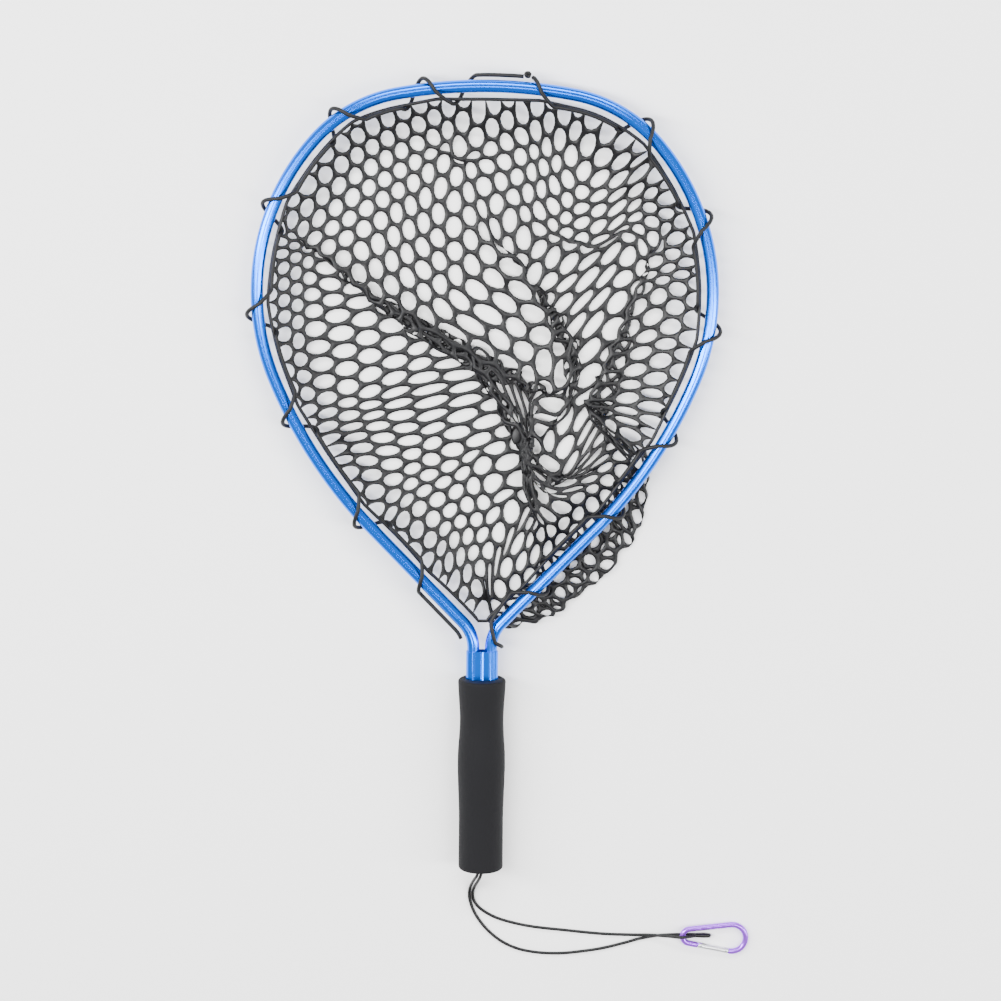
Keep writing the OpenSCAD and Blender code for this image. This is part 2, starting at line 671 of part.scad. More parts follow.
// The collapsed rubber bag: mesh lying on the floor, a wall up to the edge bead at the rim
module net_bag() {
    half_bead = bead_w / 2;
    half_wall = bag_wall / 2;
    color(black) difference() {
        translate([0, hoop_y, 0]) {
            translate([0, 0, spill_gap]) linear_extrude(bag_floor - 2 * spill_gap)
                polygon([for (p = spill) beside_rim(p[0] * half_rim, p[1])]);
            difference() {
                linear_extrude(bead_z) polygon(both_sides(bag_edge(half_wall - bead_in)));
                translate([0, 0, bag_floor])
                    linear_extrude(bead_z) polygon(both_sides(bag_edge(-half_wall - bead_in)));
            }
            translate([0, 0, bead_z - half_bead]) difference() {
                linear_extrude(bead_w) polygon(both_sides(bag_edge(half_bead - bead_in)));
                translate([0, 0, -cut_over]) linear_extrude(bead_w + 2 * cut_over)
                    polygon(both_sides(bag_edge(-half_bead - bead_in)));
            }
        }
        bag_windows(right_keys);
        bag_windows(left_keys);
    }
}

module lace(keys) {
    rings = spread_keys(keys);
    color(black) cord([for (k = rings) lace_point(k)], [for (k = rings) lace_out_dir(k)], lace_d);
}

module lace_right() {
    lace(right_keys);
}

module lace_left() {
    lace(left_keys);
}

// Stopper knot that ties the two laces at the top of the hoop, outside the tube
module lace_knot() {
    p = beside_rim(knot_share * half_rim, knot_out);
    color(black) translate([p[0], p[1] + hoop_y, axis_z]) sphere(d = knot_d);
}

hoop_tube();
handle_tube();
leg_insert();
leg_rivets();
foam_grip();
end_plug();
lanyard_knot();
lanyard_upper();
lanyard_lower();
cord_sleeve();
carabiner_body();
carabiner_gate();
gate_pin();
gate_spring();
gate_plunger();
catch_pin();
net_bag();
lace_right();
lace_left();
lace_knot();
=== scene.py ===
import math

import bpy
import numpy as np
from mathutils import Matrix, Vector


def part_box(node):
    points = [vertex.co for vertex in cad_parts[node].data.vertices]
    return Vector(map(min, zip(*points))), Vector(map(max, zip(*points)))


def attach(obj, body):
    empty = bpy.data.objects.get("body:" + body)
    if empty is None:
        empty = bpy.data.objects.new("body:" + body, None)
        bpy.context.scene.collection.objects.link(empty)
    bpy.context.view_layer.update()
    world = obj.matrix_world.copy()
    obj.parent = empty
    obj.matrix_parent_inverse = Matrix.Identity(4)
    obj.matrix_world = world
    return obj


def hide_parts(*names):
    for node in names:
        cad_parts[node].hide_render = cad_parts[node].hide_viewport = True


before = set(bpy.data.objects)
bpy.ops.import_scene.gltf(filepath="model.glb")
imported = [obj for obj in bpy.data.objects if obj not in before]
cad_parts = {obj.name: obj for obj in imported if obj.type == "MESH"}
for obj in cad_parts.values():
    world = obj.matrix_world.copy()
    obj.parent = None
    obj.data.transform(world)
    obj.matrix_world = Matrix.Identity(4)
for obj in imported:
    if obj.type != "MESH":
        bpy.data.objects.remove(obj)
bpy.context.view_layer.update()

MM = 0.001


# --- Camera, floor and light ------------------------------------------------------------
# The net lies on a pale floor and is seen almost straight down, from its handle side's end.
# The camera leans 10 degrees, from far off with a long lens, and is rolled by half a degree.
LEAN = math.radians(10)
ROLL = math.radians(0.488)
TARGET = np.array([11.86, -17.64, 0]) * MM
DISTANCE = 1.9

back = np.array([0, math.sin(LEAN), math.cos(LEAN)])
level_x = np.array([1.0, 0, 0])
level_y = np.cross(back, level_x)
right = math.cos(ROLL) * level_x + math.sin(ROLL) * level_y
up = -math.sin(ROLL) * level_x + math.cos(ROLL) * level_y
lens = bpy.data.cameras.new("camera")
lens.lens = 98.5
lens.sensor_width = 36
lens.clip_end = 20
camera = bpy.data.objects.new("camera", lens)
camera.matrix_world = Matrix([
    [right[i], up[i], back[i], TARGET[i] + DISTANCE * back[i]] for i in range(3)
] + [[0, 0, 0, 1]])
bpy.context.scene.collection.objects.link(camera)
bpy.context.scene.camera = camera


def linear(hex_colour):
    """An sRGB hex colour as linear RGBA."""
    values = [int(hex_colour[i:i + 2], 16) / 255 for i in (1, 3, 5)]
    return [v / 12.92 if v <= 0.04045 else ((v + 0.055) / 1.055) ** 2.4 for v in values] + [1]


def add_node(tree, kind, links=(), **values):
    """A node with its inputs set by name, and (input, socket) pairs linked."""
    made = tree.nodes.new(kind)
    for name, value in values.items():
        if hasattr(made, name):
            setattr(made, name, value)
        else:
            made.inputs[name.replace("_", " ")].default_value = value
    for name, socket in links:
        tree.links.new(socket, made.inputs[name])
    return made


def surface(name, colour, rough, metal=0.0, grain=0.0, depth=0.0, coat=0.0, shine=0.5):
    """A material with one colour and an even grain, whose size and depth are in millimetres."""
    made = bpy.data.materials.new(name)
    made.use_nodes = True
    tree = made.node_tree
    shader = tree.nodes["Principled BSDF"]
    shader.inputs["Base Color"].default_value = linear(colour)
    shader.inputs["Roughness"].default_value = rough
    shader.inputs["Metallic"].default_value = metal
    shader.inputs["Coat Weight"].default_value = coat
    shader.inputs["Coat Roughness"].default_value = 0.12
    shader.inputs["Specular IOR Level"].default_value = shine
    if grain:
        place = add_node(tree, "ShaderNodeTexCoord")
        noise = add_node(tree, "ShaderNodeTexNoise", [("Vector", place.outputs["Object"])],
                         Scale=1 / (grain * MM), Detail=3.0)
        bump = add_node(tree, "ShaderNodeBump", [("Height", noise.outputs["Fac"])],
                        Strength=1.0, Distance=depth * MM)
        tree.links.new(bump.outputs["Normal"], shader.inputs["Normal"])
    return made


def mesh_piece(name, points, faces, material, smooth=True):
    """A finished mesh object at the origin, from points in metres."""
    mesh = bpy.data.meshes.new(name)
    corners = [tuple(map(float, p)) for p in points]
    mesh.from_pydata(corners, [], [tuple(map(int, f)) for f in faces])
    mesh.validate()
    mesh.polygons.foreach_set("use_smooth", [smooth] * len(mesh.polygons))
    made = bpy.data.objects.new(name, mesh)
    bpy.context.scene.collection.objects.link(made)
    made.data.materials.append(material)
    return made


floor = mesh_piece("floor", [(-6, -6, 0), (6, -6, 0), (6, 6, 0), (-6, 6, 0)], [(0, 1, 2, 3)],
                   surface("pale_floor", "#FFFFFF", 0.9), smooth=False)

# Two long soft boxes above, either side, and an even white room
world = bpy.data.worlds.new("room")
world.use_nodes = True
world.node_tree.nodes["Background"].inputs["Color"].default_value = (1, 1, 1, 1)
world.node_tree.nodes["Background"].inputs["Strength"].default_value = 0.8
bpy.context.scene.world = world
for name, place, size, power in (
    ("left_box", (-1.2, 0.3, 1.6), (0.35, 2.4), 95),
    ("right_box", (1.4, -0.2, 1.5), (0.3, 2.2), 55),
    ("top_box", (0.1, 1.8, 1.6), (2.0, 0.4), 55),
):
    lamp = bpy.data.lights.new(name, "AREA")
    lamp.shape = "RECTANGLE"
    lamp.size, lamp.size_y = size
    lamp.energy = power
    holder = bpy.data.objects.new(name, lamp)
    holder.location = place
    holder.rotation_euler = (Vector((0, 0, 0)) - Vector(place)).to_track_quat("-Z", "Y").to_euler()
    bpy.context.scene.collection.objects.link(holder)


# --- Lanyard cord -----------------------------------------------------------------------
# One thin black cord, doubled: both strands leave the plug at the butt, drop to the floor
# and run to the sleeve beside the carabiner, the upper one passing over the carabiner's bar.
CORD_D = 2.2
BUTT_Y, AXIS_Z, FLOOR_CORD_Z = -277.625, 16.6, 1.15
UPPER_DROP = [(1.2, 17.1, 1), (1.2, 7.6, 1), (1, -1.4, 0.99), (0, -6.4, 0.9), (-2, -11.9, 0.6),
              (-4, -16.9, 0.25), (-5.4, -22.4, 0.05)]
UPPER_FLOOR = [(-4.8, -28.4, 1.15), (-0.6, -34.4, 1.15), (8, -40, 1.15), (18, -43.8, 1.15),
               (36, -47.8, 1.15), (60, -50.4, 1.15), (86, -52.8, 1.15), (106, -53.4, 1.3),
               (122, -53, 2.9), (134, -52.8, 5.8), (143, -52.9, 8), (149, -52.9, 6),
               (153, -52.9, 4.1)]
LOWER_DROP = [(-1.2, 17.1, 1), (-1.2, 7.6, 1), (-1.4, -1.4, 0.97), (-2.6, -6.4, 0.85),
              (-4.8, -11.4, 0.52), (-6.8, -16.9, 0.17), (-7.9, -21.9, 0.02)]
LOWER_FLOOR = [(-7.6, -28.4, 1.15), (-4.4, -37.4, 1.15), (1.4, -46.4, 1.15), (9, -54.4, 1.15),
               (18, -60.7, 1.15), (29, -65.1, 1.15), (43, -67.4, 1.15), (58, -67.6, 1.15),
               (73, -66, 1.15), (88, -63.4, 1.15), (102, -59.7, 1.15), (114, -56.2, 1.15),
               (126, -53.9, 1.15), (138, -53, 1.15), (147, -52.9, 1.15), (153, -52.9, 1.4)]


def strand_route(drop, flat):
    """From across, on from the butt and up (down to the floor as a share) to millimetres."""
    return [(x, BUTT_Y + y, FLOOR_CORD_Z + z * (AXIS_Z - FLOOR_CORD_Z)) for x, y, z in drop] + [
        (x, BUTT_Y + y, z) for x, y, z in flat]


def smooth_line(route, per_step):
    """Points in metres on a smooth curve through a route in millimetres."""
    p = np.array(route, float) * MM
    out = []
    for i in range(len(p) - 1):
        a, b, c, d = p[max(i - 1, 0)], p[i], p[i + 1], p[min(i + 2, len(p) - 1)]
        for f in np.arange(per_step) / per_step:
            out.append(0.5 * (2 * b + (c - a) * f + (2 * a - 5 * b + 4 * c - d) * f ** 2
                              + (3 * b - a - 3 * c + d) * f ** 3))
    return np.array(out + [p[-1]])


def tube(name, line, refs, radii, material, sides=12, closed=False, bulge=None):
    """A tube through points in metres. refs steady its sides; bulge(angle, share) scales it."""
    line = np.asarray(line)
    count = len(line)
    if closed:
        along = np.roll(line, -1, 0) - np.roll(line, 1, 0)
    else:
        along = np.gradient(line, axis=0)
    along /= np.linalg.norm(along, axis=1)[:, None]
    refs = np.broadcast_to(np.asarray(refs, float), line.shape)
    first = refs - (refs * along).sum(1)[:, None] * along
    first /= np.linalg.norm(first, axis=1)[:, None]
    second = np.cross(along, first)
    radii = np.broadcast_to(np.asarray(radii, float), (count,))
    angles = 2 * math.pi * np.arange(sides) / sides
    points = []
    for i in range(count):
        scale = np.ones(sides) if bulge is None else bulge(angles, i / (count - 1), i)
        ring = (np.cos(angles)[:, None] * first[i] + np.sin(angles)[:, None] * second[i])
        points.extend(line[i] + radii[i] * scale[:, None] * ring)
    faces = []
    for i in range(count if closed else count - 1):
        k = (i + 1) % count
        for j in range(sides):
            m = (j + 1) % sides
            faces.append((i * sides + j, i * sides + m, k * sides + m, k * sides + j))
    if not closed:
        faces.append(tuple(range(sides))[::-1])
        faces.append(tuple((count - 1) * sides + j for j in range(sides)))
    return mesh_piece(name, points, faces, material)


cord_black = surface("braided_cord", "#060608", 0.4, grain=0.5, depth=0.12, shine=0.3)
for side, route in (("upper", strand_route(UPPER_DROP, UPPER_FLOOR)),
                    ("lower", strand_route(LOWER_DROP, LOWER_FLOOR))):
    line = smooth_line(route, 8)
    strand = tube("lanyard_" + side + "_cord", line, (0.2, 0.1, 1), CORD_D / 2 * MM, cord_black)
    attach(strand, "net")
    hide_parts("lanyard_" + side)

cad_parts["lanyard_knot"].data.materials.clear()
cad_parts["lanyard_knot"].data.materials.append(cord_black)


# --- Sleeve -----------------------------------------------------------------------------
# Shrunk black sleeve that joins the two ends of the cord, flat-sided with a round nose.
sleeve_black = surface("shrunk_sleeve", "#050506", 0.35, shine=0.3)
low, high = (np.array(c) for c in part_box("cord_sleeve"))
SLEEVE_RINGS, SLEEVE_SIDES = 26, 20
NOSE_FROM, NOSE_POWER, NOSE_TIP = 0.84, 2.2, 0.05  # shares of the length and of the width
RIPPLE, RIPPLE_TURN, PINCH = 0.05, 9, 0.12
middle, half_size = (low + high) / 2, (high - low) / 2
sleeve_points = []
for i in range(SLEEVE_RINGS):
    f = i / (SLEEVE_RINGS - 1)
    x = low[0] + (high[0] - low[0]) * f
    nose_f = max(0, (f - NOSE_FROM) / (1 - NOSE_FROM))
    swell = max(math.sqrt(max(0.0, 1 - nose_f ** NOSE_POWER)), NOSE_TIP)
    ripple = 1 - RIPPLE - RIPPLE * math.sin(f * RIPPLE_TURN)
    ripple -= PINCH * math.exp(-(f * RIPPLE_TURN) ** 2)
    for a in np.arange(SLEEVE_SIDES) * 2 * math.pi / SLEEVE_SIDES:
        y = middle[1] + half_size[1] * math.cos(a) * ripple * swell
        z = middle[2] + half_size[2] * math.sin(a) * ripple * swell
        sleeve_points.append((x, y, z))
sleeve_faces = []
for i in range(SLEEVE_RINGS - 1):
    for j in range(SLEEVE_SIDES):
        k = (j + 1) % SLEEVE_SIDES
        sleeve_faces.append((i * SLEEVE_SIDES + j, i * SLEEVE_SIDES + k,
                             (i + 1) * SLEEVE_SIDES + k, (i + 1) * SLEEVE_SIDES + j))
sleeve_faces.append(tuple(range(SLEEVE_SIDES))[::-1])
sleeve_faces.append(tuple((SLEEVE_RINGS - 1) * SLEEVE_SIDES + j for j in range(SLEEVE_SIDES)))
sleeve = mesh_piece("sleeve", sleeve_points, sleeve_faces, sleeve_black)
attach(sleeve, "net")
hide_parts("cord_sleeve")


# --- Carabiner --------------------------------------------------------------------------
# Small violet snap hook on a 4 mm bar, its back cut with a twisted rope pattern, with a
# bright hollow gate that turns on a rivet and closes on a notched nose.
HANG = np.array([144.1, BUTT_Y - 52.9, 4.3])
CLIP_TURN = math.radians(-3)
CLIP_DROP = math.radians(2.91675)
SMALL_R, LARGE_R, LARGE_C, BAR_R = 5.3, 9.9, 35.3, 2.0
FLARE = math.radians(8.82015)
SIDE_L = 29.6452
clip_frame = (Matrix.Rotation(CLIP_TURN, 3, "Z") @ Matrix.Rotation(CLIP_DROP, 3, "Y"))


def clip_to_row(p):
    return (HANG + np.array(clip_frame @ Vector(p))) * MM


violet = surface("violet_anodised", "#A052E8", 0.28, metal=0.85)
stub_x, stub_y = SMALL_R - SMALL_R * math.sin(FLARE), SMALL_R * math.cos(FLARE)
bar_line = []
bar_kind = []
for d in np.linspace(6.7, 0, 14)[:-1]:
    bar_line.append((stub_x + d * math.cos(FLARE), -stub_y - d * math.sin(FLARE), 0))
    bar_kind.append(0)
for a in np.linspace(270 - math.degrees(FLARE), 90 + math.degrees(FLARE), 40)[:-1]:
    t = math.radians(a)
    bar_line.append((SMALL_R + SMALL_R * math.cos(t), SMALL_R * math.sin(t), 0))
    bar_kind.append(0)
for d in np.linspace(0, SIDE_L, 170)[:-1]:
    bar_line.append((stub_x + d * math.cos(FLARE), stub_y + d * math.sin(FLARE), 0))
    bar_kind.append(min(1, d / 2, (SIDE_L - d) / 2))
for a in np.linspace(90 + math.degrees(FLARE), -90 - math.degrees(FLARE), 90):
    t = math.radians(a)
    bar_line.append((LARGE_C + LARGE_R * math.cos(t), LARGE_R * math.sin(t), 0))
    bar_kind.append(0)
TWIST_MM, TWIST_STARTS, TWIST_DEPTH, TWIST_SHARP = 7.5, 3, 0.13, 4
END_MM, END_SHARE = 0.35, 0.14  # how the bar's ends are rounded
step = np.linalg.norm(np.diff(np.array(bar_line), axis=0), axis=1)
run = np.concatenate([[0], np.cumsum(step)])


def rope_twist(angles, share, i):
    """How far the bar's surface stands out: a twisted groove on the spine, and round ends."""
    turn = angles * TWIST_STARTS - 2 * math.pi * run[i] / TWIST_MM
    groove = np.maximum(0, np.cos(turn)) ** TWIST_SHARP
    edge = min(1, min(run[i], run[-1] - run[i]) / END_MM)
    return (1 - TWIST_DEPTH * groove * bar_kind[i]) * (1 - END_SHARE + END_SHARE * math.sqrt(edge))


line = np.array([clip_to_row(p) for p in bar_line])
clip_up = np.array(clip_frame @ Vector((0, 0, 1)))
hook = tube("carabiner_hook", line, clip_up, BAR_R * MM, violet, sides=28, bulge=rope_twist)


def gate_side_to_row(x, y, z):
    c, s = math.cos(FLARE), math.sin(FLARE)
    return clip_to_row((stub_x + c * x + s * y, -stub_y - s * x + c * y, z))


def plate(outline, half_t):
    """Points and faces of a flat plate in the gate side's frame, its outline in millimetres."""
    n = len(outline)
    points = [gate_side_to_row(x, y, s * half_t) for s in (-1, 1) for x, y in outline]
    faces = [tuple(range(n))[::-1], tuple(range(n, 2 * n))]
    faces += [(i, (i + 1) % n, n + (i + 1) % n, n + i) for i in range(n)]
    return points, faces


TONGUE_T, PIVOT = 1.4, 9.0
lug = [(6.2, -0.6), (PIVOT - 1.0, -0.75)]
lug += [(PIVOT + 1.4 * math.cos(a), 0.5 + 1.4 * math.sin(a)) for a in np.linspace(-2.2, 2.2, 21)]
lug += [(6.2, 1.6)]
points, faces = plate(lug, TONGUE_T / 2)
hook_lug = mesh_piece("carabiner_lug", points, faces, violet, smooth=False)
nose = [(26.05, -1.45), (SIDE_L + 0.3, -1.5), (SIDE_L + 0.3, 1.5), (28.0, 1.5), (28.0, -0.65),
        (26.7, -0.65), (26.7, 1.45), (26.05, 1.45)]
points, faces = plate(nose, TONGUE_T / 2)
hook_nose = mesh_piece("carabiner_nose", points, faces, violet, smooth=False)
for piece in (hook, hook_lug, hook_nose):
    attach(piece, "carabiner")
    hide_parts("carabiner_body")

gate_silver = surface("bright_gate", "#E6E6EA", 0.28, metal=0.9)
rivet_steel = surface("dull_rivet", "#8E9A9C", 0.35, metal=0.9)
for name, material in (("carabiner_gate", gate_silver), ("gate_pin", rivet_steel),
                       ("catch_pin", rivet_steel), ("gate_spring", rivet_steel),
                       ("gate_plunger", rivet_steel)):
    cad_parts[name].data.materials.clear()
    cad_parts[name].data.materials.append(material)


# --- Handle -----------------------------------------------------------------------------
# Blue flattened tube with a shaped foam grip over it and a black plug at the butt.
blue = surface("blue_anodised", "#006CF0", 0.22, metal=0.95, coat=0.0)
moulded_black = surface("moulded_plastic", "#0A0A0B", 0.5, grain=0.4, depth=0.02, shine=0.3)
alloy = surface("alloy_rivet", "#C9CBCE", 0.35, metal=0.95)
for name, material in (("leg_insert", moulded_black),
                       ("end_plug", moulded_black), ("leg_rivets", alloy)):
    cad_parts[name].data.materials.clear()
    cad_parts[name].data.materials.append(material)

foam_black = surface("closed_cell_foam", "#0D0D10", 0.8, grain=0.55, depth=0.16, shine=0.2)
GRIP_TOP_Y = -140.625
GRIP_D, WAIST_D, LOWER_D, EDGE_R = 33.2, 30.4, 31.0, 2.0
TUBE_W, TUBE_H = 22.2, 10.0
grip_l = GRIP_TOP_Y - BUTT_Y


def waist(t, start, mid, end, wide, slim, start_wide=None):
    wide = start_wide if start_wide and t < mid else wide
    f = (t - mid) / ((end if t > mid else start) - mid)
    return (slim + (wide - slim) * (1 - math.cos(math.pi * f)) / 2) / 2


def grip_radius(t):
    if t > 0.57:
        return waist(t, 0.57, 0.785, 1, GRIP_D, WAIST_D)
    return waist(t, 0, 0.25, 0.57, GRIP_D, LOWER_D, LOWER_D + 0.2)


profile = []
for a in np.radians(np.arange(0, 91, 10)):
    profile.append((grip_radius(0) - EDGE_R * (1 - math.sin(a)), EDGE_R * (1 - math.cos(a))))
for d in np.linspace(EDGE_R, grip_l - EDGE_R, 90)[1:-1]:
    profile.append((grip_radius(d / grip_l), d))
for a in np.radians(np.arange(90, -1, -10)):
    profile.append((grip_radius(1) - EDGE_R * (1 - math.sin(a)),
                    grip_l - EDGE_R * (1 - math.cos(a))))


def oval_point(a, w, h):
    """A point of a flattened oval, square-ended in neither direction, at angle a."""
    c, s = math.cos(a), math.sin(a)
    r = h / 2
    flat = (w - h) / 2
    reach = r / max(abs(s), 1e-9)
    if reach * abs(c) <= flat:
        return c * reach, s * reach
    b = flat * abs(c)
    reach = b + math.sqrt(b * b - flat * flat + r * r)
    return c * reach, s * reach


MOUTH_Y, TUBE_END_Y, TUBE_WALL, CROWN = -120.625, -274.625, 0.6, 0.3
FLUTES = [(-5.6, 0.7, 0.22), (0.0, 0.8, 0.3), (5.6, 0.7, 0.22)]
TUBE_SIDES = 160
section = []
for j in range(TUBE_SIDES):
    a = 2 * math.pi * j / TUBE_SIDES
    x, z = oval_point(a, TUBE_W, TUBE_H)
    dip = CROWN * (x / (TUBE_W / 2)) ** 2
    dip += sum(deep * max(0, 1 - (abs(x - at) / wide) ** 2) for at, wide, deep in FLUTES)
    section.append((x, z - math.copysign(min(dip, 0.5), z) * min(1, abs(z) / 4)))
inner = [oval_point(2 * math.pi * j / TUBE_SIDES, TUBE_W - 2 * TUBE_WALL, TUBE_H - 2 * TUBE_WALL)
         for j in range(TUBE_SIDES)]
lip = 0.2
tube_rings = [(inner, TUBE_END_Y, 0), (section, TUBE_END_Y, 0), (section, MOUTH_Y - lip, 0),
              (section, MOUTH_Y, lip), (inner, MOUTH_Y, 0)]
points, faces = [], []
for ring, y, cut in tube_rings:
    for x, z in ring:
        points.append(((x - math.copysign(min(cut, abs(x)), x)) * MM, y * MM,
                       (AXIS_Z + z - math.copysign(min(cut, abs(z)), z)) * MM))
for i in range(len(tube_rings)):
    k = (i + 1) % len(tube_rings)
    for j in range(TUBE_SIDES):
        m = (j + 1) % TUBE_SIDES
        faces.append((i * TUBE_SIDES + j, k * TUBE_SIDES + j, k * TUBE_SIDES + m,
                      i * TUBE_SIDES + m))
yoke = mesh_piece("handle_outer_tube", points, faces, blue)
yoke.data.set_sharp_from_angle(angle=math.radians(40))
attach(yoke, "net")
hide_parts("handle_tube")

SIDES = 96
rings = [(None, profile[0][1])] + profile + [(None, profile[-1][1])]
points = []
for r, d in rings:
    for j in range(SIDES):
        a = 2 * math.pi * j / SIDES
        x, z = oval_point(a, TUBE_W + 0.1, TUBE_H + 0.1) if r is None else (
            r * math.cos(a), r * math.sin(a))
        points.append((x * MM, (BUTT_Y + d) * MM, (AXIS_Z + z) * MM))
faces = []
for i in range(len(rings)):
    k = (i + 1) % len(rings)
    for j in range(SIDES):
        m = (j + 1) % SIDES
        faces.append((i * SIDES + j, k * SIDES + j, k * SIDES + m, i * SIDES + m))
grip = mesh_piece("foam_handle_grip", points, faces, foam_black)
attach(grip, "net")
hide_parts("foam_grip")


# --- Hoop -------------------------------------------------------------------------------
# One bent tube: a flat top, round shoulders, long sides and a tight neck above two legs.
# A fine groove runs along its top and its underside.
HOOP_W, HOOP_L, RIM_R, LEG_GAP, LEG_L = 318, 392, 4.3, 3.6, 57
TOP_R, SIDE_R, STRAIGHT_L, NECK_R = 330, 156, 90, 26
TOP_TURN, SHOULDER_TURN, SIDE_TURN = 10.5, 48, 112
HOOP_Y = 267.0746


def outward(h):
    return np.array([math.sin(math.radians(h)), math.cos(math.radians(h))])


def forward(h):
    return np.array([math.cos(math.radians(h)), -math.sin(math.radians(h))])


half_w = HOOP_W / 2 - RIM_R
leg_x = LEG_GAP / 2 + RIM_R
leg_y = -(HOOP_L - RIM_R - 2)
shoulder_r = (half_w - TOP_R * outward(TOP_TURN)[0] - SIDE_R * (1 - outward(SHOULDER_TURN)[0])) / (
    outward(SHOULDER_TURN)[0] - outward(TOP_TURN)[0])
top_c = np.array([0, -TOP_R])
shoulder_c = top_c + (TOP_R - shoulder_r) * outward(TOP_TURN)
side_c = shoulder_c + (shoulder_r - SIDE_R) * outward(SHOULDER_TURN)
neck_c = np.array([leg_x + NECK_R, leg_y])
gap = neck_c - side_c - SIDE_R * outward(SIDE_TURN)
lower_r = (gap @ gap - NECK_R ** 2 - STRAIGHT_L ** 2) / (2 * (NECK_R - gap @ outward(SIDE_TURN)))
lower_c = side_c + (SIDE_R - lower_r) * outward(SIDE_TURN)
to_neck = neck_c - lower_c
line_turn = math.degrees(math.atan2(to_neck[0], to_neck[1]) % (2 * math.pi)
                         - math.atan2(STRAIGHT_L, lower_r + NECK_R))
# Each bend: radius, centre, start heading and end heading in degrees
BENDS = [
    (TOP_R, top_c, 0, TOP_TURN), (shoulder_r, shoulder_c, TOP_TURN, SHOULDER_TURN),
    (SIDE_R, side_c, SHOULDER_TURN, SIDE_TURN), (lower_r, lower_c, SIDE_TURN, line_turn)]
bend_ends = np.cumsum([math.radians(b - a) * r for r, _, a, b in BENDS])
neck_s = bend_ends[-1] + STRAIGHT_L
half_rim = neck_s + math.radians(line_turn - 90) * NECK_R


def rim_at(s):
    """(point, heading) on the right half of the tube's middle, s along it from the top."""
    start = 0
    for (r, c, a, _), end in zip(BENDS, bend_ends):
        if s < end:
            h = a + math.degrees((s - start) / r)
            return c + r * outward(h), h
        start = end
    if s < neck_s:
        return lower_c + lower_r * outward(line_turn) + (s - start) * forward(line_turn), line_turn
    if s < half_rim:
        h = line_turn - math.degrees((s - neck_s) / NECK_R)
        return neck_c - NECK_R * outward(h), h
    return np.array([leg_x, leg_y - (s - half_rim)]), 90.0


def beside_rim(s, out=0.0):
    """A flat point in millimetres, out from the tube's middle; s is negative on the left."""
    p, h = rim_at(abs(s))
    p = p + out * outward(h)
    return np.array([-p[0] if s < 0 else p[0], p[1] + HOOP_Y])


stations = np.concatenate([np.arange(-half_rim - LEG_L, half_rim + LEG_L, 2.5),
                           [half_rim + LEG_L]])
line = np.array([[*beside_rim(s), AXIS_Z] for s in stations]) * MM
GROOVE_W, GROOVE_DEPTH = 0.9, 0.4


def tube_groove(angles, share, i):
    across = np.abs(RIM_R * np.sin(angles))
    return 1 - GROOVE_DEPTH / RIM_R * np.clip(1.25 - across / (GROOVE_W / 2), 0, 1)


hoop = tube("hoop_bent_tube", line, (0, 0, 1), RIM_R * MM, blue, sides=112, bulge=tube_groove)
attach(hoop, "net")
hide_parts("hoop_tube")


# --- Bead and lacing --------------------------------------------------------------------
# The bag's round edge bead runs inside the hoop, and two cords lace it to the tube. Each
# key is a share of half the hoop (negative on the left) and the turns wound so far.
BEAD_IN, BEAD_W, LACE_R, LACE_SLACK = 8.0, 2.4, 1.4, 0.35
BEAD_Z = AXIS_Z - 0.5
lace_out = RIM_R + LACE_R + 1.8
lace_in = BEAD_IN + BEAD_W / 2 + LACE_R + 2 * LACE_SLACK
lace_h = RIM_R + LACE_R + LACE_SLACK + 0.1
WRAP_IN, WRAP_OUT, OVER_BEAD = 0.018, 0.014, 0.17
RIGHT_WRAPS = [0.907, 0.767, 0.652, 0.504, 0.36, 0.224]
LEFT_WRAPS = [-0.064, -0.18, -0.321, -0.46, -0.603, -0.762]


def wraps(shares, first):
    """Each wrap goes over the tube and back under it, then runs on beside the bead."""
    keys = []
    for k, share in enumerate(shares):
        keys += [(share + WRAP_IN, first + OVER_BEAD - k), (share, first - k),
                 (share - WRAP_OUT, first - 0.25 - k), (share - 2 * WRAP_OUT, first - 0.5 - k),
                 (share - 2 * WRAP_OUT - WRAP_IN, first + OVER_BEAD - 1 - k)]
    return keys


RIGHT_KEYS = [(0.997, 0.02), (0.99, 0.2), (0.968, 0.34), (0.942, 0.4)] + wraps(
    RIGHT_WRAPS, 0.25) + [(0.088, -5.58), (0.07, -5.75), (0.056, -6)]
LEFT_KEYS = [(0.046, 0), (-0.012, -0.04), (-0.028, -0.25)] + wraps(LEFT_WRAPS, -0.75) + [
    (-0.864, -6.58), (-0.882, -6.75), (-0.896, -7), (-0.99, -7)]
net_black = surface("moulded_rubber", "#09090C", 0.42, grain=1.2, depth=0.06, shine=0.3)
lace_black = surface("lacing_cord", "#08080B", 0.5, grain=0.5, depth=0.1, shine=0.3)

for name, keys in (("right", RIGHT_KEYS), ("left", LEFT_KEYS)):
    line, refs = [], []
    for (s0, a0), (s1, a1) in zip(keys, keys[1:]):
        n = max(2, math.ceil(max(abs(a1 - a0) * 44, abs(s1 - s0) * half_rim / 4)))
        for f in np.arange(n) / n:
            s, a = (s0 + (s1 - s0) * f) * half_rim, 2 * math.pi * (a0 + (a1 - a0) * f)
            reach = min(lace_in, rim_at(abs(s))[0][0])
            flat = beside_rim(s, (lace_out - reach) / 2 + (lace_out + reach) / 2 * math.cos(a))
            line.append((*flat, AXIS_Z + lace_h * math.sin(a)))
            refs.append((*(beside_rim(s, math.cos(a)) - beside_rim(s)), math.sin(a)))
    lace = tube("lace_" + name + "_cord", np.array(line) * MM, np.array(refs), LACE_R * MM,
                lace_black)
    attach(lace, "net")
    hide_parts("lace_" + name)

